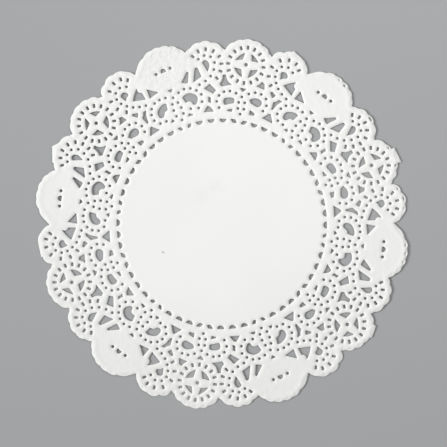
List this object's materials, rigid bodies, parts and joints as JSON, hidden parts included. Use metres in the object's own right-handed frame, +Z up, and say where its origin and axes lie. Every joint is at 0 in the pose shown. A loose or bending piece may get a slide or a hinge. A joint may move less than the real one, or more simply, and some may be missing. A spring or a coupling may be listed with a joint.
{
  "type": "lace doily",
  "caption": "Round flat paper lace doily with a plain middle, a wide band of cut lace and a scalloped edge, for laying under a cake, plate or vase.",
  "frame": {"origin": "middle of the underside, which lies on the table", "axes": "+Z up out of the sheet's face; +Y away from the viewer, so that the sheet seen from above has the picture's turn"},
  "size_m": [0.153, 0.1522, 0.001],
  "materials": {
    "paper": "matte white, uncoated, embossed"
  },
  "bodies": {
    "root": {"doily": "paper"}
  },
  "joints": []
}
